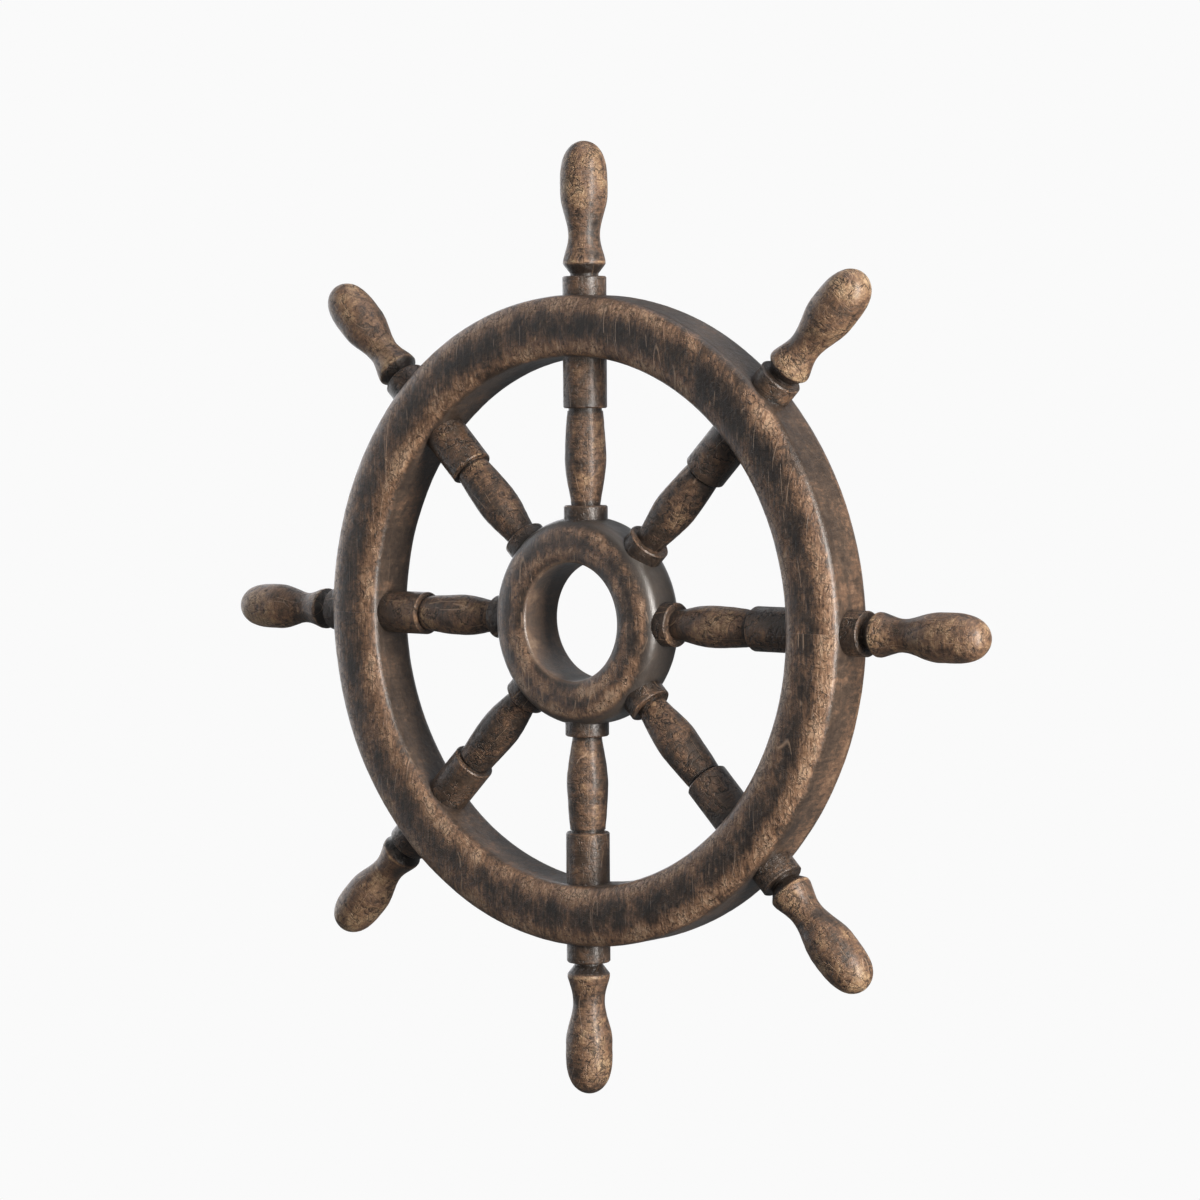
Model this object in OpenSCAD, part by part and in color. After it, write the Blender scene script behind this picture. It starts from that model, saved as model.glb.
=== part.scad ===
// Ship's steering wheel in wood: a turned nave, eight turned spokes that carry the handles, and a rim
// laid up from three layers of felloes and held with blind pegs.
// The wheel stands in the XZ plane with its front towards -Y. The origin is the middle of the axle hole.

/* [Wheel] */
// Diameter over the tips of opposite handles
wheel_d = 914; // [890:1:960]

/* [Nave] */
// Outer diameter of the nave
nave_d = 199; // [190:1:210]
// Depth of the nave along the axle
nave_depth = 56; // [54:1:62]
// Diameter of the axle hole
bore_d = 113; // [90:1:116]
// Radius of the rounded outer shoulders
nave_shoulder = 20; // [12:1:22]
// Radius of the rounded edges of the axle hole
bore_edge = 3.5; // [2:0.5:6]

/* [Rim] */
// Outer diameter of the rim
rim_d = 623; // [610:1:636]
// Width of the rim, from its inner to its outer side
rim_width = 59; // [52:1:64]
// Depth of the rim along the axle
rim_depth = 64; // [60:1:70]
// Radius of the rim's rounded shoulders
rim_shoulder = 14; // [8:1:16]
// Depth of the middle layer of felloes
middle_depth = 36; // [32:1:38]

/* [Spokes] */
// Diameter of the spoke's collars and of its block through the rim
collar_d = 42; // [40:1:44]
// Largest diameter of the swell between nave and rim
swell_d = 40; // [36:1:42]
// Diameter of the foot of the swell, at the nave
foot_d = 28; // [24:1:32]
// Largest diameter of the grip
grip_d = 46; // [40:1:50]
// Diameter of the neck below the grip
neck_d = 30.5; // [28:0.5:34]
// Diameter of the flare at the foot of the handle
flare_d = 41; // [38:1:44]

/* [Joinery] */
// Diameter of the tenon in the nave
tenon_d = 26; // [22:1:30]
// Length of the tenon
tenon_length = 27; // [20:1:28]
// Diameter of the pegs in the rim
rim_peg_d = 10; // [6:1:12]
// Diameter of the pegs in the nave
nave_peg_d = 8; // [5:1:10]
// Glue line left round each tenon, spoke and peg
glue_gap = 0.1; // [0.05:0.05:0.3]

/* [Hidden] */
$fn = 96;
spoke_count = 8;
spoke_step = 360 / spoke_count;
facing_count = 4;
facing_step = 360 / facing_count;
arc_steps = 8;
curve_steps = 12;

rim_outer = rim_d / 2;
rim_inner = rim_outer - rim_width;
rim_mid = rim_outer - rim_width / 2;
bore_r = bore_d / 2;

// Stations along a spoke, measured from the middle of the wheel
collar_seat = 7;
collar_rise = 11;
block_rise = 49;
collar_out = 17.5;
edge = 1.2;
seat_z = nave_d / 2 - collar_seat;
tenon_z = seat_z - tenon_length;
foot_z = nave_d / 2 + collar_rise;
block_z = rim_inner - block_rise;
collar_z = rim_outer + collar_out;
tip_z = wheel_d / 2;
swell_z = foot_z + (block_z - foot_z) / 2;

// The groove under the block and the one outside the rim
groove_width = 2.5;
under_block_d = 32;
swell_top_d = 34;
handle_groove_d = 27;

// Heights within the handle, above its groove
flare_height = 9.5;
flare_band = 2.5;
neck_height = 38;
grip_height = 79;
grip_z = collar_z + grip_height;

// How far the pegs run on past the middle layer and past the tenons
rim_peg_blind = 7;
rim_peg_end = middle_depth / 2 + rim_peg_blind;
nave_peg_blind = 3;
nave_peg_end = tenon_d / 2 + nave_peg_blind;
// Distance of the nave's pegs from the axle
nave_peg_at = 77;

timber = "#6b4e37";
dark_timber = "#59432f";
peg_timber = "#7d5f42";

function arc(centre, r, from, to) = [
    for (i = [0 : arc_steps])
        let (a = from + (to - from) * i / arc_steps)
        centre + r * [cos(a), sin(a)]
];

// Half waves that ease a radius from one value to the next as t goes from 0 to 1
function slow_start(a, b, t) = a + (b - a) * pow(t, 1.5);
function quick_start(a, b, t) = a + (b - a) * sin(90 * pow(t, 1.2));
function s_curve(a, b, t) = a + (b - a) * (1 - cos(180 * t)) / 2;

// Outline of a ring's section, as [radius, height], with rounded corners
function ring_section(inner, outer, depth, inner_r, outer_r) = concat(
    arc([outer - outer_r, outer_r - depth / 2], outer_r, -90, 0),
    arc([outer - outer_r, depth / 2 - outer_r], outer_r, 0, 90),
    arc([inner + inner_r, depth / 2 - inner_r], inner_r, 90, 180),
    arc([inner + inner_r, inner_r - depth / 2], inner_r, 180, 270)
);

// Lays out a wheel drawn in the XY plane, front up, as the standing wheel
module stand() {
    rotate([90, 0, 0])
        children();
}

// Turns a child from straight up to the direction of spoke n, clockwise from the front
module at_spoke(n) {
    rotate([0, (n - 1) * spoke_step, 0])
        children();
}

module spoke_outline() {
    swell_foot = foot_d / 2;
    swell_r = swell_d / 2;
    collar_r = collar_d / 2;
    tenon_r = tenon_d / 2;
    groove_r = handle_groove_d / 2;
    flare_r = flare_d / 2;
    neck_r = neck_d / 2;
    grip_r = grip_d / 2;
    swell_end = block_z - groove_width;
    flare_z = collar_z + groove_width + flare_height;
    neck_z = collar_z + neck_height;
    polygon(concat(
        [
            [0, tenon_z],
            [tenon_r - edge, tenon_z],
            [tenon_r, tenon_z + edge],
            [tenon_r, seat_z],
            [collar_r, seat_z],
            [collar_r, foot_z - edge],
            [collar_r - edge, foot_z],
        ],
        [for (i = [0 : curve_steps])
            let (t = i / curve_steps)
            [quick_start(swell_foot, swell_r, t), foot_z + (swell_z - foot_z) * t]],
        [for (i = [1 : curve_steps])
            let (t = i / curve_steps)
            [slow_start(swell_r, swell_top_d / 2, t), swell_z + (swell_end - swell_z) * t]],
        [
            [under_block_d / 2, swell_end],
            [under_block_d / 2, block_z],
            [collar_r - edge, block_z],
            [collar_r, block_z + edge],
            [collar_r, collar_z - edge],
            [collar_r - edge, collar_z],
            [groove_r, collar_z],
            [groove_r, collar_z + groove_width],
            [flare_r - edge / 2, flare_z - edge],
            [flare_r, flare_z],
        ],
        [for (i = [0 : curve_steps])
            let (t = i / curve_steps, from = flare_z + flare_band)
            [quick_start(flare_r, neck_r, t), from + (neck_z - from) * t]],
        [for (i = [1 : curve_steps])
            let (t = i / curve_steps)
            [s_curve(neck_r, grip_r, t), neck_z + (grip_z - neck_z) * t]],
        [for (i = [1 : 2 * curve_steps])
            let (t = sin(45 * i / curve_steps))
            [grip_r * sqrt(max(0, 1 - pow(t, 3))), grip_z + (tip_z - grip_z) * t]]
    ));
}

// A spoke and its handle, turned from one stick
module spoke(n) {
    color(timber)
    at_spoke(n)
    rotate_extrude()
        spoke_outline();
}

// Holes that the spokes leave in the rim, along every spoke from the middle out
module spoke_holes() {
    for (n = [1 : spoke_count])
        at_spoke(n)
        translate([0, 0, block_z])
            cylinder(d = collar_d + 2 * glue_gap, h = collar_z - block_z);
}

module nave() {
    color(dark_timber)
    difference() {
        stand()
        rotate_extrude()
            polygon(ring_section(bore_r, nave_d / 2, nave_depth, bore_edge, nave_shoulder));
        for (n = [1 : spoke_count])
            at_spoke(n) {
                translate([0, 0, seat_z])
                    cylinder(d = collar_d + 2 * glue_gap, h = collar_rise + collar_seat);
                translate([0, 0, tenon_z - glue_gap])
                    cylinder(d = tenon_d + 2 * glue_gap, h = nave_d / 2);
            }
        nave_peg_set(glue_gap);
    }
}

// One stretch of the rim between two depths, cut for the spokes and pegs. Angles run anticlockwise
// from 3 o'clock.
module felloe(from_angle, angle, low, high) {
    difference() {
        stand()
        rotate_extrude(angle = angle, start = from_angle)
        intersection() {
            polygon(ring_section(rim_inner, rim_outer, rim_depth, rim_shoulder, rim_shoulder));
            translate([rim_inner, low])
                square([rim_width, high - low]);
        }
        spoke_holes();
        rim_peg_set(glue_gap);
    }
}

module front_felloe(n) {
    color(timber)
    felloe(90 - n * facing_step, facing_step, middle_depth / 2, rim_depth / 2);
}

module middle_felloe(n) {
    color(dark_timber)
    felloe(90 - n * spoke_step, spoke_step, -middle_depth / 2, middle_depth / 2);
}

module back_felloe(n) {
    color(timber)
    felloe(90 - n * facing_step + spoke_step, facing_step, -rim_depth / 2, -middle_depth / 2);
}

// Two pegs in each middle felloe, from the back face to a blind end in the front layer
module rim_peg_set(clearance) {
    stand()
    for (i = [0 : 2 * spoke_count - 1])
        rotate([0, 0, (i + 0.5) * spoke_step / 2])
        translate([rim_mid, 0, -rim_depth / 2])
            cylinder(d = rim_peg_d + 2 * clearance, h = rim_depth / 2 + rim_peg_end + clearance);
}

// One peg through each tenon, from the back face to a blind end
module nave_peg_set(clearance) {
    stand()
    for (i = [0 : spoke_count - 1])
        rotate([0, 0, i * spoke_step])
        translate([nave_peg_at, 0, -nave_depth / 2])
            cylinder(d = nave_peg_d + 2 * clearance, h = nave_depth / 2 + nave_peg_end + clearance);
}

module rim_pegs() {
    color(peg_timber)
    rim_peg_set(0);
}

module nave_pegs() {
    color(peg_timber)
    nave_peg_set(0);
}

nave();
spoke(1);  // spoke_1
spoke(2);  // spoke_2
spoke(3);  // spoke_3
spoke(4);  // spoke_4
spoke(5);  // spoke_5
spoke(6);  // spoke_6
spoke(7);  // spoke_7
spoke(8);  // spoke_8
front_felloe(1);  // front_felloe_1
front_felloe(2);  // front_felloe_2
front_felloe(3);  // front_felloe_3
front_felloe(4);  // front_felloe_4
middle_felloe(1);  // middle_felloe_1
middle_felloe(2);  // middle_felloe_2
middle_felloe(3);  // middle_felloe_3
middle_felloe(4);  // middle_felloe_4
middle_felloe(5);  // middle_felloe_5
middle_felloe(6);  // middle_felloe_6
middle_felloe(7);  // middle_felloe_7
middle_felloe(8);  // middle_felloe_8
back_felloe(1);  // back_felloe_1
back_felloe(2);  // back_felloe_2
back_felloe(3);  // back_felloe_3
back_felloe(4);  // back_felloe_4
rim_pegs();
nave_pegs();
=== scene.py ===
import bpy
import numpy as np
from mathutils import Matrix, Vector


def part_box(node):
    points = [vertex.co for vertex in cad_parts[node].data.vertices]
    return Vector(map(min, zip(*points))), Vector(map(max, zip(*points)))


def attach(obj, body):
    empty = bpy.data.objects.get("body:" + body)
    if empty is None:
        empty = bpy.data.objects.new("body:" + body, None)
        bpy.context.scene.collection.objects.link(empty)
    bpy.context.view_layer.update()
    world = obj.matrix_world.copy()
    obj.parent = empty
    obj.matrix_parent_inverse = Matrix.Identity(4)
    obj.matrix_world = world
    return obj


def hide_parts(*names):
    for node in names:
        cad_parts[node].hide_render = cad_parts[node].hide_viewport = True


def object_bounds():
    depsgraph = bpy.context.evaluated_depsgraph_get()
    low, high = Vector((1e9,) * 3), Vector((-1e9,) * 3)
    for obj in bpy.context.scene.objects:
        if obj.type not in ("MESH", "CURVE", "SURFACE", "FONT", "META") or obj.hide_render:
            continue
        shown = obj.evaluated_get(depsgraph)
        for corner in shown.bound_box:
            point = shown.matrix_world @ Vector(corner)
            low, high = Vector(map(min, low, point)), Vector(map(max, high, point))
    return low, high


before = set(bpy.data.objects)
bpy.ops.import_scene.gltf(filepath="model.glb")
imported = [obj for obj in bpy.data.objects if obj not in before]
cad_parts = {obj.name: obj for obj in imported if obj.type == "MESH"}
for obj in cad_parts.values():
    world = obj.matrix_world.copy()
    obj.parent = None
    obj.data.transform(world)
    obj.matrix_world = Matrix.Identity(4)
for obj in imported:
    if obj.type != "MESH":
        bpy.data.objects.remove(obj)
cadLow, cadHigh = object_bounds()
print("frame loaded")

rimLow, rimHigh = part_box("front_felloe_1")
wheelRadius = cadHigh[2]
rimOuter = rimHigh[0]
rimInner = rimOuter - 0.059  # the rim is 59 mm wide
rimHalf = -rimLow[1]
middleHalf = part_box("middle_felloe_1")[1][1]
naveOuter = 0.0995  # more than its box, because the spokes' seats are cut where it would reach furthest
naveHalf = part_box("nave")[1][1]
spokeCount = 8


def colour(hexValue):
    # sRGB hex to linear: the standard curve, channel by channel
    channels = np.array([int(hexValue[i:i + 2], 16) for i in (1, 3, 5)]) / 255
    linear = np.where(channels <= 0.04045, channels / 12.92, ((channels + 0.055) / 1.055) ** 2.4)
    return (*linear.tolist(), 1.0)


def smoothStep(low, high, values):
    # 0 below low, 1 above high, and the cubic 3t^2 - 2t^3 between them
    t = np.clip((values - low) / (high - low), 0, 1)
    return t * t * (3 - 2 * t)


def bell(values, middle, width):
    # 1 at the middle, falling as e to the minus square of the distance from it in widths
    return np.exp(-((values - middle) / width) ** 2)


def unevenness(points, size, seed):
    # soft lumps about "size" across: the mean of twelve plane cosine waves in random directions
    source = np.random.default_rng(seed)
    waves = source.normal(size=(12, 3))
    waves *= (2 * np.pi / size) / np.linalg.norm(waves, axis=1, keepdims=True)
    waves *= source.uniform(0.6, 1.5, (12, 1))
    phases = source.uniform(0, 2 * np.pi, 12)
    return np.cos(points @ waves.T + phases).mean(axis=-1) * 1.6


def makePiece(name, points, faces, values, place):
    # mesh from vertices and faces, with one float attribute per name in values and a vector "place".
    # Edges that turn by more than 40 degrees stay sharp.
    mesh = bpy.data.meshes.new(name)
    mesh.from_pydata(points, [], faces)
    for key, numbers in values.items():
        mesh.attributes.new(key, "FLOAT", "POINT").data.foreach_set("value", numbers.astype(np.float32))
    mesh.attributes.new("place", "FLOAT_VECTOR", "POINT").data.foreach_set(
        "vector", place.astype(np.float32).ravel())
    mesh.shade_smooth()
    mesh.set_sharp_from_angle(angle=np.radians(40))
    piece = bpy.data.objects.new(name, mesh)
    bpy.context.collection.objects.link(piece)
    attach(piece, "root")
    return piece


def ringFaces(rows, columns, closed):
    # quads between rings of vertices that run row by row. Closed, the last ring joins the first. Open, each
    # end is a fan to a middle of its own, and the two middles follow the rings.
    i, j = np.meshgrid(np.arange(rows if closed else rows - 1), np.arange(columns), indexing="ij")
    nextRow, nextColumn = (i + 1) % rows, (j + 1) % columns
    corners = [i * columns + j, i * columns + nextColumn,
               nextRow * columns + nextColumn, nextRow * columns + j]
    quads = np.stack(corners, axis=-1).reshape(-1, 4).tolist()
    if closed:
        return quads
    ring = np.arange(columns)
    after = np.roll(ring, -1)
    top, middle = (rows - 1) * columns, rows * columns
    first = np.stack([np.full_like(ring, middle), after, ring], axis=1).tolist()
    last = np.stack([np.full_like(ring, middle + 1), ring + top, after + top], axis=1).tolist()
    return quads + first + last


def resample(outline, spacing, sharp):
    # points along a broken line at nearly even steps of its length, keeping the corners listed in sharp
    steps = np.r_[0, np.cumsum(np.linalg.norm(np.diff(outline, axis=0), axis=1))]
    stops = np.r_[0, np.sort([steps[i] for i in sharp]), steps[-1]]
    places = [np.linspace(a, b, max(2, int(np.ceil((b - a) / spacing)) + 1))[:-1]
              for a, b in zip(stops[:-1], stops[1:]) if b > a]
    places = np.r_[np.concatenate(places), steps[-1]]
    return np.stack([np.interp(places, steps, outline[:, k]) for k in (0, 1)], axis=1)


# timber: oak under a dark stain and a varnish that is crazed, scratched and worn by hands. Sizes are in
# metres, and the worn look goes from 0, sooty, to 1, bare.
timber = {
    "soot": "#201813",  # old polish and dirt; the painted shade in the creases also darkens the tone towards it
    "dark": "#34271e",
    "stain": "#493a2e",
    "brown": "#705440",
    "bare": "#94745a",  # where hands have taken the stain off
    "pale": "#af9176",
    "side": "#51453c",  # the planed sides, dull and greyer
    "scratch": "#b89a80",
    "crack": "#16120f",
    "streak": (0.0016, 0.0016, 0.0016),  # how far apart the grain's streaks lie along x, y and z
    "streaky": 0.8,  # how strongly they show
    "net": (1.0, 1.0, 1.0),  # how much tighter the crazing is along x, y and z
    "crazed": 0.5,  # how strongly it shows
    "patchSize": 0.034,  # across the broad patches of wear
    "blotchSize": 0.010,
    "grimeSize": 0.0036,
    "patchDepth": 2.0,  # how far patches, blotches and grime move the tone
    "blotchDepth": 1.1,
    "grimeDepth": 0.8,
    "driftSize": 0.011,  # the patterns wander by drift over this distance
    "drift": 0.010,
    "crackSize": 0.016,
    "crackWidth": 0.022,
    "crazeSize": 0.0042,  # across one cell of the fine net of crazing
    "crazeWidth": 0.12,  # of its lines, as a share of a cell
    "crazeStep": 2.3,  # the coarse net's cells are this much larger, its lines half as wide for their size
    "sawn": 0.8,  # how strongly saw marks show on the sides
    "sawnAcross": (170.0, 42.0, 420.0),  # saw marks to a metre along x, y and z
    "scratchAcross": (36.0, 36.0, 2.4),  # scratches to a metre, long and upright
    "scratchLength": 0.024,
    "scratchWidth": 0.006,  # as a share of the distance between them
    "scratchShow": 0.6,
    "sideShare": 0.45,  # how far the planed sides go to their own colour
    "sideCalm": 0.65,  # how much the patterns fade on them
    "sideShine": 0.10,  # how much smoother they are
    "smoothest": 0.38,  # roughness of the varnish where it is whole, and where it is worn
    "roughest": 0.56,
    "coat": 0.5,
    "coatRough": 0.33,
    "relief": 0.0009,
}
rimTimberValues = {
    **timber,
    "streak": (0.0018, 0.006, 0.016),
    "streaky": 1.1,
    "net": (1.2, 0.9, 0.5),
    "crazed": 0.8,
    "patchDepth": 1.9,
    "crazeSize": 0.0058,
    "sideShare": 0.35,
    "sideCalm": 0.30,
    "coat": 0.44,
}
naveTimberValues = {
    **timber,
    "side": "#49433e",
    "streak": (0.0018, 0.006, 0.014),
    "net": (1.0, 0.8, 0.6),
    "patchDepth": 2.2,
    "sideShare": 0.7,
    "coat": 0.9,
    "coatRough": 0.42,
}
spokeTimberValues = {
    **timber,
    "bare": "#947659",
    "pale": "#ae9273",
    "streak": (0.012, 0.012, 0.0018),
    "streaky": 0.75,
    "net": (0.9, 0.9, 0.75),
    "crazed": 0.60,
    "grimeSize": 0.0056,
    "patchDepth": 1.7,
    "blotchDepth": 1.15,
    "grimeDepth": 0.65,
    "crackSize": 0.021,
    "crackWidth": 0.032,
    "sawn": 0.0,
    "sideShine": 0.45,
    "smoothest": 0.46,
    "roughest": 0.60,
    "coat": 0.35,
    "relief": 0.0012,
}
# the pegs carry no attributes: pale end grain, trimmed flush
pegWear = {"worn": 0.66, "crackle": 0.3, "creaseShade": 0.0, "plane": 0.1}

# the kinds of node used most
maths = "ShaderNodeMath"
vectorMaths = "ShaderNodeVectorMath"
mapRange = "ShaderNodeMapRange"
mapping = "ShaderNodeMapping"
noise = "ShaderNodeTexNoise"
attribute = "ShaderNodeAttribute"
colourMix = "ShaderNodeMix"


def put(tree, kind, sockets=(), **settings):
    # adds a node, sets its properties, then fills or links its inputs, listed in order or named. A node
    # given as an input stands for its first output.
    node = tree.nodes.new(kind)
    for key, value in settings.items():
        setattr(node, key, value)
    for key, value in sockets.items() if isinstance(sockets, dict) else enumerate(sockets):
        if isinstance(value, bpy.types.Node):
            value = value.outputs[0]
        if isinstance(value, bpy.types.NodeSocket):
            tree.links.new(value, node.inputs[key])
        else:
            node.inputs[key].default_value = value
    return node


def makeTimber(name, values, fixed=None):
    # Satin varnish over dark stain: brown where it is handled, darkened by painted shade in the hollows,
    # streaked by the grain, with hairline cracks and light scratches. The wear (with painted light and shade
    # added to it on the spokes and nave), crackle, painted crease shade and plane are attributes of the mesh,
    # or constants in fixed for a piece without them, drawn on its object coordinates.
    material = bpy.data.materials.new(name)
    material.use_nodes = True
    tree = material.node_tree
    tree.nodes.clear()
    keys = ("worn", "crackle", "creaseShade", "plane")
    if fixed:
        place = put(tree, "ShaderNodeTexCoord").outputs["Object"]
        worn, crackle, creaseShade, plane = [fixed[key] for key in keys]
    else:
        place = put(tree, attribute, attribute_name="place").outputs["Vector"]
        worn, crackle, creaseShade, plane = [put(tree, attribute, attribute_name=key).outputs["Fac"]
                                        for key in keys]

    # everything that shouldn't look ruled is drawn on a slightly wandering copy of place
    drift = put(tree, noise, {"Vector": place, "Scale": 1 / values["driftSize"], "Detail": 3.0,
                              "Roughness": 0.6})
    centred = put(tree, vectorMaths, [drift.outputs["Color"], (0.5, 0.5, 0.5)], operation="SUBTRACT")
    pushed = put(tree, vectorMaths, {"Vector": centred, "Scale": values["drift"]}, operation="SCALE")
    wandering = put(tree, vectorMaths, [place, pushed], operation="ADD")

    broad = put(tree, mapping, {"Vector": place, "Scale": tuple(0.4 + 0.75 * q for q in values["net"])})
    patches = put(tree, noise, {"Vector": broad, "Scale": 1 / values["patchSize"], "Detail": 4.0,
                                "Roughness": 0.6})
    blotches = put(tree, noise, {"Vector": wandering, "Scale": 1 / values["blotchSize"], "Detail": 5.0,
                                 "Roughness": 0.65})
    grime = put(tree, noise, {"Vector": wandering, "Scale": 1 / values["grimeSize"], "Detail": 5.0,
                              "Roughness": 0.65})
    grainPlace = put(tree, mapping, {"Vector": place, "Scale": tuple(1 / size for size in values["streak"])})
    grain = put(tree, noise, {"Vector": grainPlace, "Scale": 1.0, "Detail": 4.0, "Roughness": 0.65})

    # tone: 0 sooty to 1 bare, from the wear, then patches, blotches, grime and grain about it
    uneven = 0.0
    for pattern, depth in ((patches, "patchDepth"), (blotches, "blotchDepth"), (grime, "grimeDepth")):
        about = put(tree, maths, [pattern, values[depth], -values[depth] / 2], operation="MULTIPLY_ADD")
        uneven = put(tree, maths, [uneven, about], operation="ADD")
    calm = put(tree, maths, [plane, -values["sideCalm"], 1.0], operation="MULTIPLY_ADD")
    tone = put(tree, maths, [uneven, calm, worn], operation="MULTIPLY_ADD")
    # the grain's streaks, half as strong on the sides
    streaks = put(tree, maths, [grain, values["streaky"], -values["streaky"] / 2], operation="MULTIPLY_ADD")
    onFace = put(tree, maths, [plane, -0.55, 1.0], operation="MULTIPLY_ADD")
    tone = put(tree, maths, [streaks, onFace, tone], operation="MULTIPLY_ADD")
    # saw marks on the planed sides, lying along the axle
    sawnPlace = put(tree, mapping, {"Vector": wandering, "Scale": values["sawnAcross"]})
    sawn = put(tree, noise, {"Vector": sawnPlace, "Scale": 1.0, "Detail": 3.0, "Roughness": 0.6})
    sawn = put(tree, maths, [sawn, 0.5], operation="SUBTRACT")
    onSide = put(tree, maths, [plane, values["sawn"]], operation="MULTIPLY")
    tone = put(tree, maths, [sawn, onSide, tone], operation="MULTIPLY_ADD")
    # painted shade: the tone is pushed darker in the creases, grooves and where parts meet
    tone = put(tree, maths, [creaseShade, -0.6, tone], operation="MULTIPLY_ADD")
    ramp = put(tree, "ShaderNodeValToRGB", [tone])
    stops = [(0.0, "soot"), (0.16, "dark"), (0.36, "stain"), (0.58, "brown"), (0.82, "bare"), (1.0, "pale")]
    while len(ramp.color_ramp.elements) < len(stops):
        ramp.color_ramp.elements.new(0.5)
    for element, (position, key) in zip(ramp.color_ramp.elements, stops):
        element.position = position
        element.color = colour(values[key])
    # the planed sides have taken less stain: they go to a flatter grey brown
    sideShare = put(tree, maths, [plane, values["sideShare"]], operation="MULTIPLY")
    body = put(tree, colourMix, {0: sideShare, 6: ramp, 7: colour(values["side"])}, data_type="RGBA")

    # hairline cracks: where a slow noise passes through its middle value, and the edges of two nets of
    # Voronoi cells, longer along the grain, each kept to the patches that have crazed
    contour = put(tree, noise, {"Vector": wandering, "Scale": 1 / values["crackSize"], "Detail": 3.0,
                                "Roughness": 0.62})
    offMiddle = put(tree, maths, [contour, 0.5], operation="SUBTRACT")
    offMiddle = put(tree, maths, [offMiddle], operation="ABSOLUTE")
    line = put(tree, mapRange, [offMiddle, 0.0, values["crackWidth"], 1.0, 0.0])
    where = put(tree, mapRange, [patches, 0.40, 0.50])
    cracks = put(tree, maths, [line, where], operation="MULTIPLY")
    fine, width = values["crazeSize"], values["crazeWidth"]
    for size, width, pattern in ((fine, width, blotches), (fine * values["crazeStep"], width / 2, patches)):
        along = put(tree, mapping, {"Vector": wandering, "Scale": tuple(q / size for q in values["net"])})
        cells = put(tree, "ShaderNodeTexVoronoi", {"Vector": along, "Scale": 1.0}, feature="DISTANCE_TO_EDGE")
        line = put(tree, mapRange, [cells, 0.0, width, values["crazed"], 0.0])
        where = put(tree, mapRange, [pattern, 0.45, 0.58])
        line = put(tree, maths, [line, where], operation="MULTIPLY")
        cracks = put(tree, maths, [cracks, line], operation="MAXIMUM")
    cracks = put(tree, maths, [cracks, crackle], operation="MULTIPLY")
    # pores: small pits that hold dirt, fewer on the sides
    pores = put(tree, mapRange, [grime, 0.41, 0.34])
    where = put(tree, maths, [plane, -0.6, 0.75], operation="MULTIPLY_ADD")
    pores = put(tree, maths, [pores, where], operation="MULTIPLY")

    # scratches: contour lines of a noise drawn out one way, cut to short lengths, few on the sides. Each of
    # the three lots is moved and turned to another part of the noise.
    scratches = 0.0
    for turn, cut in ((0.55, 0.0), (-0.75, 0.37), (1.9, 0.71)):
        laid = put(tree, mapping, {"Vector": place, "Location": (cut, cut, cut), "Rotation": (0.2, turn, 0.0),
                                   "Scale": values["scratchAcross"]})
        line = put(tree, noise, {"Vector": laid, "Scale": 1.0, "Detail": 0.0, "Roughness": 0.4})
        line = put(tree, maths, [line, 0.5], operation="SUBTRACT")
        line = put(tree, maths, [line], operation="ABSOLUTE")
        line = put(tree, mapRange, [line, 0.0, values["scratchWidth"], 1.0, 0.0])
        moved = put(tree, mapping, {"Vector": place, "Location": (cut, 0.0, cut)})
        lengths = put(tree, noise, {"Vector": moved, "Scale": 1 / values["scratchLength"], "Detail": 1.0,
                                    "Roughness": 0.5})
        lengths = put(tree, mapRange, [lengths, 0.53, 0.58])
        line = put(tree, maths, [line, lengths], operation="MULTIPLY")
        scratches = put(tree, maths, [scratches, line], operation="MAXIMUM")
    where = put(tree, maths, [plane, -0.85, 1.0], operation="MULTIPLY_ADD")
    scratches = put(tree, maths, [scratches, where], operation="MULTIPLY")

    shown = put(tree, maths, [cracks, 0.9], operation="MULTIPLY")
    shown = put(tree, maths, [shown, pores], operation="MAXIMUM")
    marked = put(tree, colourMix, {0: shown, 6: body.outputs[2], 7: colour(values["crack"])},
                 data_type="RGBA")
    shown = put(tree, maths, [scratches, values["scratchShow"]], operation="MULTIPLY")
    finished = put(tree, colourMix, {0: shown, 6: marked.outputs[2], 7: colour(values["scratch"])},
                   data_type="RGBA")

    # relief: cracks and scratches sink, the grain and the blotches stand a little proud
    height = put(tree, maths, [grain, 0.5], operation="MULTIPLY")
    height = put(tree, maths, [cracks, -0.8, height], operation="MULTIPLY_ADD")
    for pattern, rise in ((grime, 0.9), (blotches, 1.6)):
        pattern = put(tree, maths, [pattern, calm], operation="MULTIPLY")
        height = put(tree, maths, [pattern, rise, height], operation="MULTIPLY_ADD")
    height = put(tree, maths, [scratches, -0.3, height], operation="MULTIPLY_ADD")
    bump = put(tree, "ShaderNodeBump", {"Height": height, "Strength": 0.8, "Distance": values["relief"]})

    rough = put(tree, mapRange, [blotches, 0.35, 0.65, values["smoothest"], values["roughest"]])
    rough = put(tree, maths, [cracks, 0.3, rough], operation="MULTIPLY_ADD")
    rough = put(tree, maths, [plane, -values["sideShine"], rough], operation="MULTIPLY_ADD")
    shader = put(tree, "ShaderNodeBsdfPrincipled",
                 {"Base Color": finished.outputs[2], "Roughness": rough, "Normal": bump, "IOR": 1.5,
                  "Coat Weight": values["coat"], "Coat Roughness": values["coatRough"]})
    put(tree, "ShaderNodeOutputMaterial", {"Surface": shader})
    return material


rimTimber = makeTimber("oakDarkStainRim", rimTimberValues)
naveTimber = makeTimber("oakDarkStainNave", naveTimberValues)
spokeTimber = makeTimber("oakTurnedVarnish", spokeTimberValues)
pegTimber = makeTimber("oakPegEndGrain", timber, pegWear)
print("timber made")


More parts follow.
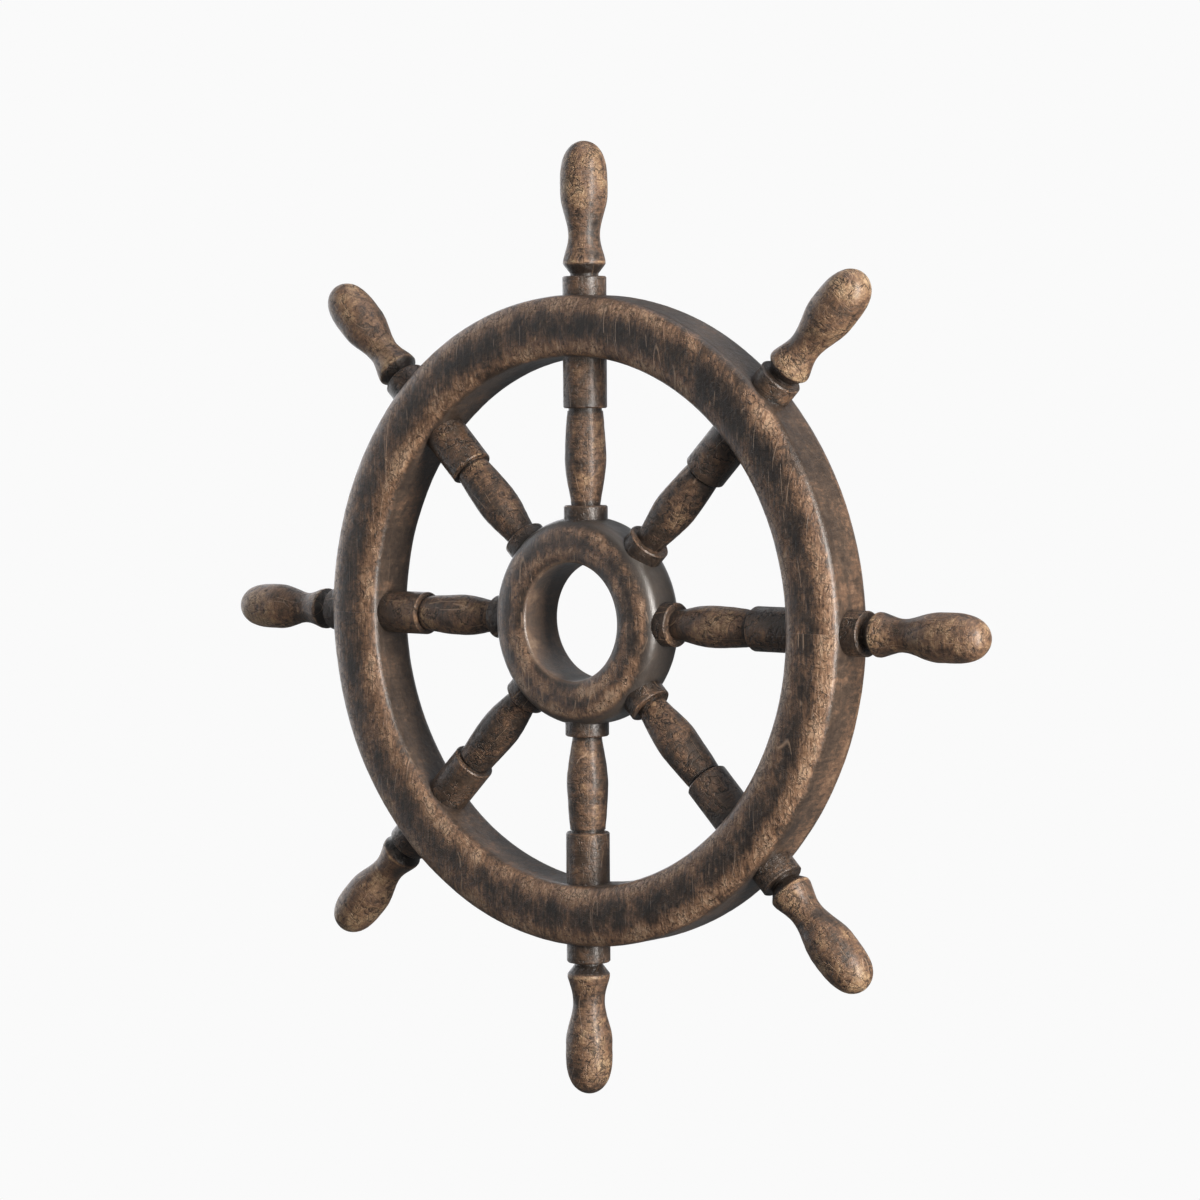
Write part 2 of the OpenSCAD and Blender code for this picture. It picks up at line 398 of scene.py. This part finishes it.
spokes = {
    "around": 128,  # points round each ring
    "spacing": 0.0011,  # metres between rings
    "lumps": 0.00035,  # how uneven hands have left it, broadly and finely
    "dents": 0.00012,
    "collarRadius": 0.0210,  # the collars at nave and rim, and the block through the rim
    "tenonRadius": 0.0130,
    "swellRadius": 0.0200,
    "footRadius": 0.0140,
    "swellTopRadius": 0.0170,
    "underBlockRadius": 0.0160,
    "grooveRadius": 0.0135,
    "flareRadius": 0.0205,
    "neckRadius": 0.01525,
    "gripRadius": 0.0228,
    "seatDepth": 0.007,  # how far the collar sits in the nave
    "tenonLength": 0.027,
    "collarRise": 0.011,  # how far it stands out of the nave
    "blockRise": 0.049,  # how far the block reaches inside the rim, and outside it
    "collarOut": 0.0175,
    "grooveWidth": 0.0025,
    "flareHeight": 0.0095,
    "flareBand": 0.0025,
    "neckHeight": 0.038,  # from the end of the block to the thinnest and the thickest of the handle
    "gripHeight": 0.079,
    "edge": 0.0012,  # the chamfers
    "worn": 0.39,  # all over, then more on each part
    "handleWorn": 0.17,
    "tipWorn": 0.12,
    "swellWorn": 0.13,
    "edgeWorn": 0.30,
    # painted shade under the flare: its tone is darker than the collar's
    "underFlareShade": -0.16,
    "handleWear": (0.00, 0.06, 0.02, 0.02, -0.03, 0.05, 0.00, 0.01),  # more or less on each, from 12 o'clock
    "swellWear": (-0.04, -0.09, 0.02, -0.05, -0.02, -0.17, 0.05, -0.02),
    "crackle": 0.60,
    "handleCrackle": 0.35,
    "swellCrackle": 0.50,
    "uprightCrackle": 0.10,  # the upright pair is less crazed than the rest
}


def spokeOutline(s):
    # radius and height along a spoke: tenon, collar, swell, block, groove, flare, neck, grip and tip.
    # The swell rises as a sine and falls as t^1.5, and the neck opens as half a cosine. The tip closes as
    # the square root of 1 - u^3.5, where u is its height, from 0 to 1.
    seat = naveOuter - s["seatDepth"]
    foot = naveOuter + s["collarRise"]
    block = rimInner - s["blockRise"]
    collar = rimOuter + s["collarOut"]
    swell = (foot + block) / 2
    swellEnd = block - s["grooveWidth"]
    flare = collar + s["grooveWidth"] + s["flareHeight"]
    neck = collar + s["neckHeight"]
    grip = collar + s["gripHeight"]
    edge = s["edge"]
    t = np.linspace(0, 1, 40)
    rise = s["footRadius"] + (s["swellRadius"] - s["footRadius"]) * np.sin(np.pi / 2 * t ** 1.2)
    fall = s["swellRadius"] + (s["swellTopRadius"] - s["swellRadius"]) * t ** 1.5
    waist = s["flareRadius"] + (s["neckRadius"] - s["flareRadius"]) * np.sin(np.pi / 2 * t ** 1.2)
    opening = s["neckRadius"] + (s["gripRadius"] - s["neckRadius"]) * (1 - np.cos(np.pi * t)) / 2
    shut = np.sin(np.pi / 2 * t)
    cap = s["gripRadius"] * np.sqrt(np.clip(1 - shut ** 3.5, 0, None))
    bands = [
        ([0, s["tenonRadius"], s["tenonRadius"]], [seat - s["tenonLength"]] * 2 + [seat]),
        ([s["collarRadius"]] * 2 + [s["collarRadius"] - edge, s["footRadius"]],
         [seat, foot - edge, foot, foot]),
        (rise[1:], (foot + (swell - foot) * t)[1:]),
        (fall[1:], (swell + (swellEnd - swell) * t)[1:]),
        ([s["underBlockRadius"]] * 2 + [s["collarRadius"] - edge, s["collarRadius"]],
         [swellEnd, block, block, block + edge]),
        ([s["collarRadius"], s["collarRadius"] - edge, s["grooveRadius"], s["grooveRadius"]],
         [collar - edge, collar, collar, collar + s["grooveWidth"]]),
        ([s["flareRadius"] - edge / 2, s["flareRadius"]], [flare - edge, flare]),
        (waist, flare + s["flareBand"] + (neck - flare - s["flareBand"]) * t),
        (opening[1:], (neck + (grip - neck) * t)[1:]),
        (cap[1:], (grip + (wheelRadius - grip) * shut)[1:]),
    ]
    return np.concatenate([np.stack([np.asarray(r, float), np.asarray(h, float)], axis=1) for r, h in bands])


def wearSpoke(own, number, s):
    # marks along the spoke, each 1 on its own part and fading to 0 off it, then the wear and the painted
    # shade that they make
    foot = naveOuter + s["collarRise"]
    block = rimInner - s["blockRise"]
    collar = rimOuter + s["collarOut"]
    flare = collar + s["grooveWidth"] + s["flareHeight"]
    h, r = own[:, 2], np.hypot(own[:, 0], own[:, 1])
    onHandle = smoothStep(flare - 0.002, flare + 0.002, h)
    onSwell = smoothStep(foot + 0.002, foot + 0.006, h) * (1 - smoothStep(block - 0.006, block - 0.003, h))
    underFlare = smoothStep(collar, collar + 0.001, h) * (1 - smoothStep(flare - 0.003, flare, h))
    inGroove = bell(h, collar + 0.0015, 0.003) + bell(h, block - 0.0015, 0.002)
    atNave = np.exp(-np.clip(h - naveOuter, 0, None) / 0.004) + bell(h, foot + 0.0015, 0.002)
    atRim = np.exp(-np.abs(h - rimOuter) / 0.003) + np.exp(-np.abs(h - rimInner) / 0.004)
    edges = bell(h, collar - 0.0006, 0.001) + bell(h, block + 0.0006, 0.001)
    edges = edges + bell(h, foot - 0.0004, 0.001) + bell(h, flare + 0.001, 0.0015)
    towardTip = smoothStep(flare, wheelRadius, h)

    # hands leave the swell and handle a little uneven, and the collar and block stay true
    lumps = unevenness(own, 0.035, 40 + number) * s["lumps"]
    lumps = lumps + unevenness(own, 0.009, 60 + number) * s["dents"]
    swelling = (lumps - s["lumps"] * 0.3) * smoothStep(0, 0.015, r) / np.maximum(r, 0.004)
    own[:, :2] *= (1 + swelling * (onHandle + onSwell))[:, None]

    handleWorn = s["handleWorn"] + s["tipWorn"] * towardTip + s["handleWear"][number - 1]
    swellWorn = s["swellWorn"] + s["swellWear"][number - 1]
    worn = s["worn"] + handleWorn * onHandle + swellWorn * onSwell
    # wear on the edges, and painted shade under the flare
    worn = worn + s["edgeWorn"] * edges + s["underFlareShade"] * underFlare
    below = s["uprightCrackle"] if number in (1, 5) else s["swellCrackle"]
    crackle = s["crackle"] + s["handleCrackle"] * onHandle + below * (1 - onHandle)
    # painted shade: in the grooves, under the flare and where the spoke meets the nave and the rim
    creaseShade = np.clip(0.8 * inGroove + 0.35 * underFlare + 0.5 * atNave + 0.5 * atRim, 0, 1)
    plane = 0.35 * (1 - np.maximum(onHandle, onSwell))
    return own, {"worn": worn, "crackle": crackle, "creaseShade": creaseShade, "plane": plane}


def makeSpoke(number, s=spokes):
    # the outline turned about the spoke's own axis: x = r cos a, y = r sin a, z = h, then the whole
    # spoke is turned about the axle to its own hour
    outline = spokeOutline(s)
    line = resample(outline, s["spacing"], range(1, len(outline) - 1))
    line = line[np.r_[True, np.linalg.norm(np.diff(line, axis=0), axis=1) > 1e-6]]
    radius, height = line[1:-1, 0], line[1:-1, 1]
    angle = np.linspace(0, 2 * np.pi, s["around"], endpoint=False)
    rings = np.stack([radius[:, None] * np.cos(angle), radius[:, None] * np.sin(angle),
                      np.broadcast_to(height[:, None], (len(height), s["around"]))], axis=-1)
    own = np.r_[rings.reshape(-1, 3), [[0, 0, line[0, 1]], [0, 0, line[-1, 1]]]]

    own, values = wearSpoke(own, number, s)
    hour = np.pi / 4 * (number - 1)
    turned = np.stack([own[:, 0] * np.cos(hour) + own[:, 2] * np.sin(hour), own[:, 1],
                       own[:, 2] * np.cos(hour) - own[:, 0] * np.sin(hour)], axis=1)
    shift = np.random.default_rng(number).uniform(-1, 1, 3)
    faces = ringFaces(len(height), s["around"], False)
    piece = makePiece(f"spoke{number}", turned, faces, values, own + shift)
    piece.data.materials.append(spokeTimber)
    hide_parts(f"spoke_{number}")


for number in range(1, spokeCount + 1):
    makeSpoke(number)
print("spokes turned")


# rim and nave: sections carried round the axle
rim = {
    "squareness": 2.5,  # 2 is an ellipse, more is nearer a rectangle
    "spacing": 0.0015,
    "lumps": 0.0006,  # how deep the faces are worn
    "jointGap": 0.00005,  # half the gap between two felloes
    "shoulder": rimHalf - middleHalf,
    "planed": (0.42, 0.85),  # where the side begins, in shoulder widths from the face
    "bell": (0.58, 0.8),  # the middle and width of the wear on the shoulder, in the same way from the side
    "faceWorn": 0.20,
    "shoulderWorn": 0.79,
    "sideWorn": 0.28,
    "outsideWorn": 0.16,  # more on the outside, towards the back
    # degrees round from 3 o'clock, how wide, and how much more or less handled
    "handled": ((-15, 30, 0.08), (48, 22, -0.18), (92, 25, -0.07)),
}
nave = {
    "squareness": 2.4,
    "innerReach": 0.013,  # how far over the front the inner and outer roundings run
    "outerReach": 0.028,
    "innerFall": 0.006,  # and how far down the sides
    "outerFall": 0.018,
    "boreRadius": 0.0565,
    "spacing": 0.0013,
    "lumps": 0.0005,
    "shoulder": 0.015,
    "planed": (0.15, 0.50),
    "bell": (0.80, 0.55),
    "faceWorn": 0.18,
    "shoulderWorn": 0.68,
    "sideWorn": 0.22,
    # painted light: the bore's tone is raised towards bare wood
    "borePaintedLight": 0.75,
    "borePlane": 0.85,
    "topPaintedShade": -0.23,  # painted shade: darker towards the top; painted light: lighter towards the left
    "leftPaintedLight": 0.07,
}


def roundedCorner(side, top, reach, fall, squareness):
    # a quarter of a superellipse from the side up to the top: cos and sin to the power 2 / squareness
    t = np.linspace(0, np.pi / 2, 80)
    across, up = np.cos(t) ** (2 / squareness), np.sin(t) ** (2 / squareness)
    return np.stack([side + reach * (1 - across), top - fall * (1 - up) * np.sign(top)], axis=1)


def anticlockwise(loop):
    # turns the loop round if twice its area, the sum of x y' - x' y along it, is negative
    x, y = loop[:, 0], loop[:, 1]
    return loop if np.sum(x * np.roll(y, -1) - np.roll(x, -1) * y) > 0 else loop[::-1]


def spokeDistance(points):
    # distance from the surface of the nearest spoke's collar, zero inside it
    angle = np.arctan2(points[:, 0], points[:, 2])
    off = (angle + np.pi / spokeCount) % (2 * np.pi / spokeCount) - np.pi / spokeCount
    across = np.hypot(points[:, 0], points[:, 2]) * np.sin(off)
    return np.clip(np.hypot(across, points[:, 1]) - spokes["collarRadius"], 0, None)


def sweep(section, angles, centre, closed):
    # the section carried round the axle: x = r cos a, y = depth, z = r sin a, with an end cap on an arc
    a = angles[:, None]
    points = np.stack([section[:, 0] * np.cos(a), np.broadcast_to(section[:, 1], (len(angles), len(section))),
                       section[:, 0] * np.sin(a)], axis=-1).reshape(-1, 3)
    faces = [face[::-1] for face in ringFaces(len(angles), len(section), closed)]
    if closed:
        return points, faces
    ends = [[centre[0] * np.cos(a), centre[1], centre[0] * np.sin(a)] for a in (angles[0], angles[-1])]
    return np.r_[points, ends], faces


def surfaceValues(points, inner, outer, half, w):
    # round a section, wear is a bell (middle, width) of how far the point is from the side in shoulder
    # widths: 0 on the side, more on the face. The side is planed, from one depth to another.
    radius = np.hypot(points[:, 0], points[:, 2])
    fromFace = (half - np.abs(points[:, 1])) / w["shoulder"]
    fromSide = np.minimum(radius - inner, outer - radius) / w["shoulder"]
    plane = smoothStep(*w["planed"], fromFace)
    onShoulder = bell(fromSide, *w["bell"]) * (1 - plane)
    worn = w["faceWorn"] + (w["shoulderWorn"] - w["faceWorn"]) * onShoulder
    worn = worn + (w["sideWorn"] - w["faceWorn"]) * plane
    crackle = (1 - plane) * (0.55 + 0.45 * onShoulder) + 0.1 * plane
    # painted shade on the planed sides around each spoke's collar, where spoke and rim or nave meet
    creaseShade = np.exp(-spokeDistance(points) / 0.003) * 0.5 * plane
    return {"worn": worn, "crackle": crackle, "creaseShade": creaseShade, "plane": plane}


def wornDown(points, section, size, seed):
    # pushes the surface in by about size at the most, in soft lumps, towards the middle of its section
    radius = np.hypot(points[:, 0], points[:, 2])
    inward = np.stack([points[:, 0] / radius, np.zeros(len(points)), points[:, 2] / radius], axis=1)
    middle = inward * section[0]
    middle[:, 1] = section[1]
    away = points - middle
    away /= np.maximum(np.linalg.norm(away, axis=1, keepdims=True), 1e-6)
    depth = (1.2 + unevenness(points, 0.07, seed) + 0.35 * unevenness(points, 0.012, seed + 1)) * size / 2
    return points - away * np.maximum(depth, 0)[:, None]


def makeFelloe(name, node, layer, startAngle, span, shift, r=rim):
    # one felloe: its layer's part of the rim's section, carried through span degrees. The outer layers
    # are rounded over on the outside, the middle one is square.
    low, high = layer
    middleRadius, halfWidth = (rimInner + rimOuter) / 2, (rimOuter - rimInner) / 2
    if low == -middleHalf:
        loop = np.array([[rimInner, low], [rimOuter, low], [rimOuter, high], [rimInner, high],
                         [rimInner, low]])
        sharp = [1, 2, 3]
    else:
        top, fall = (low, high - low) if low < 0 else (high, high - low)
        inside = roundedCorner(rimInner, top, halfWidth, fall, r["squareness"])
        outside = roundedCorner(rimOuter, top, -halfWidth, fall, r["squareness"])[::-1]
        loop = np.concatenate([inside, outside[1:], inside[:1]])
        sharp = [len(loop) - 2]
    loop = anticlockwise(resample(loop, r["spacing"], sharp)[:-1])
    start, span = np.radians(startAngle), np.radians(span)
    count = int(span * middleRadius / r["spacing"])
    gap = r["jointGap"] / middleRadius
    angles = start + np.linspace(gap, span - gap, count)
    centre = (middleRadius, (low + high) / 2)
    points, faces = sweep(loop, angles, centre, False)
    values = surfaceValues(points, rimInner, rimOuter, rimHalf, r)
    outside = smoothStep(middleRadius, rimOuter, np.hypot(points[:, 0], points[:, 2]))
    atBack = smoothStep(-middleHalf / 2, middleHalf, points[:, 1])
    turn = np.degrees(np.arctan2(points[:, 2], points[:, 0]))
    handled = sum(more * bell(turn, at, width) for at, width, more in r["handled"])
    values["worn"] = values["worn"] + r["outsideWorn"] * outside * values["plane"] * atBack + handled
    points = wornDown(points, (middleRadius, 0.0), r["lumps"], 7)
    piece = makePiece(name, points, faces, values, points + shift)
    piece.data.materials.append(rimTimber)
    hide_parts(node)


# the grain breaks where the upper half of the rim meets the lower, at 3 and 9 o'clock
upperShift, lowerShift = np.array([0.0, 0.0, 0.0]), np.array([0.61, 0.0, 0.37])
front, middle, back = (-rimHalf, -middleHalf), (-middleHalf, middleHalf), (middleHalf, rimHalf)
for number in range(1, 5):
    shift = upperShift if number in (1, 4) else lowerShift
    makeFelloe(f"frontFelloe{number}", f"front_felloe_{number}", front, 90 - 90 * number, 90, shift)
    makeFelloe(f"backFelloe{number}", f"back_felloe_{number}", back, 135 - 90 * number, 90, -shift)
for number in range(1, spokeCount + 1):
    shift = upperShift if number in (1, 2, 7, 8) else lowerShift
    makeFelloe(f"middleFelloe{number}", f"middle_felloe_{number}", middle, 90 - 45 * number, 45, shift)
print("rim joined")


def makeNave(n=nave):
    # the nave's section carried all the way round
    corners = []
    for top in (-naveHalf, naveHalf):
        inside = roundedCorner(n["boreRadius"], top, n["innerReach"], n["innerFall"], n["squareness"])
        outside = roundedCorner(naveOuter, top, -n["outerReach"], n["outerFall"], n["squareness"])
        corners += [inside, outside[::-1]] if top < 0 else [outside, inside[::-1]]
    section = np.concatenate([*corners, corners[0][:1]])
    section = section[np.r_[True, np.linalg.norm(np.diff(section, axis=0), axis=1) > 1e-7]]
    section = anticlockwise(resample(section, n["spacing"], [])[:-1])
    angles = np.linspace(0, 2 * np.pi, int(2 * np.pi * naveOuter / n["spacing"]), endpoint=False)
    points, faces = sweep(section, angles, None, True)
    values = surfaceValues(points, n["boreRadius"], naveOuter, naveHalf, n)
    towardTop, towardLeft = np.clip(points[:, 2] / naveOuter, 0, 1), np.clip(-points[:, 0] / naveOuter, 0, 1)
    # painted shade towards the top and painted light towards the left, added to the tone
    values["worn"] = values["worn"] + n["topPaintedShade"] * towardTop + n["leftPaintedLight"] * towardLeft
    inBore = 1 - smoothStep(0.001, 0.004, np.hypot(points[:, 0], points[:, 2]) - n["boreRadius"])
    values["plane"] = values["plane"] + (n["borePlane"] - values["plane"]) * inBore
    # painted light in the bore, replacing the tone there
    values["worn"] = values["worn"] + (n["borePaintedLight"] - values["worn"]) * inBore
    middle = ((n["boreRadius"] + naveOuter) / 2, 0.0)
    worn = wornDown(points, middle, n["lumps"], 21)
    points = np.where((inBore > 0.5)[:, None], points, worn)
    piece = makePiece("nave", points, faces, values, points + np.array([0.3, 0.0, 0.2]))
    piece.data.materials.append(naveTimber)
    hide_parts("nave")


makeNave()
for node in ("rim_pegs", "nave_pegs"):
    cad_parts[node].data.materials.clear()
    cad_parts[node].data.materials.append(pegTimber)
print("nave turned")


studio = {
    "floorDrop": 0.002,
    "floorSize": 60.0,
    "pale": "#fafafa",
    "worldLight": 0.14,
    "worldTint": "#eef2f6",
    "lights": {  # place, width and height, watts and tint
        "rightStrip": ((2.72, -0.52, 0.35), (0.6, 2.6), 156, "#fffaf4"),
        "leftWall": ((-3.2, 0.7, 0.7), (4.4, 3.6), 88, "#f6f7fa"),
        "leftFront": ((-2.9, -0.95, 0.5), (1.3, 3.0), 9, "#f6f7fa"),
        "topPanel": ((0.3, 0.3, 2.8), (2.6, 2.6), 28, "#fafaff"),
        "frontFill": ((0.8, -3.1, 1.2), (1.6, 1.6), 10, "#fff6ec"),
        "backFill": ((-0.4, 3.2, 0.9), (2.4, 2.4), 9, "#f6f7fa"),
    },
}
viewpoint = {
    "azimuth": 39.42,  # degrees round from the front, and up, to where the camera stands
    "elevation": 3.77,
    "distance": 7.6136,  # wheel radii
    "heading": 39.205,  # where it looks: round, down and tilted
    "dip": 3.445,
    "tilt": -0.355,
    "lens": 108.99,
}


def makeFloor(s=studio):
    # a plain pale floor under the lowest handle
    edge = s["floorSize"] / 2
    height = cadLow[2] - s["floorDrop"]
    mesh = bpy.data.meshes.new("floor")
    corners = [(-edge, -edge, height), (edge, -edge, height), (edge, edge, height), (-edge, edge, height)]
    mesh.from_pydata(corners, [], [(0, 1, 2, 3)])
    floor = bpy.data.objects.new("floor", mesh)
    bpy.context.collection.objects.link(floor)
    material = bpy.data.materials.new("paleStudioPaper")
    material.use_nodes = True
    tree = material.node_tree
    tree.nodes.clear()
    glow = put(tree, "ShaderNodeEmission", {"Color": colour(s["pale"]), "Strength": 1.0})
    put(tree, "ShaderNodeOutputMaterial", {"Surface": glow})
    mesh.materials.append(material)
    floor.visible_diffuse = False
    floor.visible_glossy = False
    floor.visible_shadow = False


def makeWorld(s=studio):
    # an even pale backdrop, with a dimmer, slightly cool light from it
    world = bpy.data.worlds.new("studio")
    bpy.context.scene.world = world
    world.use_nodes = True
    tree = world.node_tree
    tree.nodes.clear()
    seen = put(tree, "ShaderNodeBackground", {"Color": colour(s["pale"]), "Strength": 1.0})
    cast = put(tree, "ShaderNodeBackground", {"Color": colour(s["worldTint"]), "Strength": s["worldLight"]})
    path = put(tree, "ShaderNodeLightPath")
    both = put(tree, "ShaderNodeMixShader", [path.outputs["Is Camera Ray"], cast, seen])
    put(tree, "ShaderNodeOutputWorld", {"Surface": both})


def lookRotation(back):
    # turns -Z to face along minus back, keeping +Y as near upright as it can be
    right = np.cross([0, 0, 1], back)
    right /= max(np.linalg.norm(right), 1e-6)
    up = np.cross(back, right)
    return Matrix(np.stack([right, up, back], axis=1).tolist())


def makeLight(name, place, size, power, tint):
    # a soft rectangular light that faces the middle of the wheel
    light = bpy.data.lights.new(name, "AREA")
    light.shape = "RECTANGLE"
    light.size, light.size_y = size
    light.energy = power
    light.color = colour(tint)[:3]
    lamp = bpy.data.objects.new(name, light)
    bpy.context.collection.objects.link(lamp)
    away = np.array(place, float)
    lamp.matrix_world = Matrix.Translation(place) @ lookRotation(away / np.linalg.norm(away)).to_4x4()


def makeCamera(v=viewpoint):
    # stands on a sphere about the wheel: distance times (sin az cos el, -cos az cos el, sin el)
    azimuth, elevation, heading, dip, tilt = [np.radians(v[key]) for key in
                                              ("azimuth", "elevation", "heading", "dip", "tilt")]
    data = bpy.data.cameras.new("camera")
    data.lens = v["lens"]
    data.sensor_width = 36
    camera = bpy.data.objects.new("camera", data)
    bpy.context.collection.objects.link(camera)
    place = v["distance"] * wheelRadius * np.array([
        np.sin(azimuth) * np.cos(elevation), -np.cos(azimuth) * np.cos(elevation), np.sin(elevation)])
    camera.matrix_world = (Matrix.Translation(place.tolist()) @ Matrix.Rotation(heading, 4, "Z")
                           @ Matrix.Rotation(np.pi / 2 - dip, 4, "X") @ Matrix.Rotation(tilt, 4, "Z"))
    bpy.context.scene.camera = camera


makeFloor()
makeWorld()
for name, lightValues in studio["lights"].items():
    makeLight(name, *lightValues)
makeCamera()
bpy.context.scene.view_settings.view_transform = "Standard"
print("stage set")
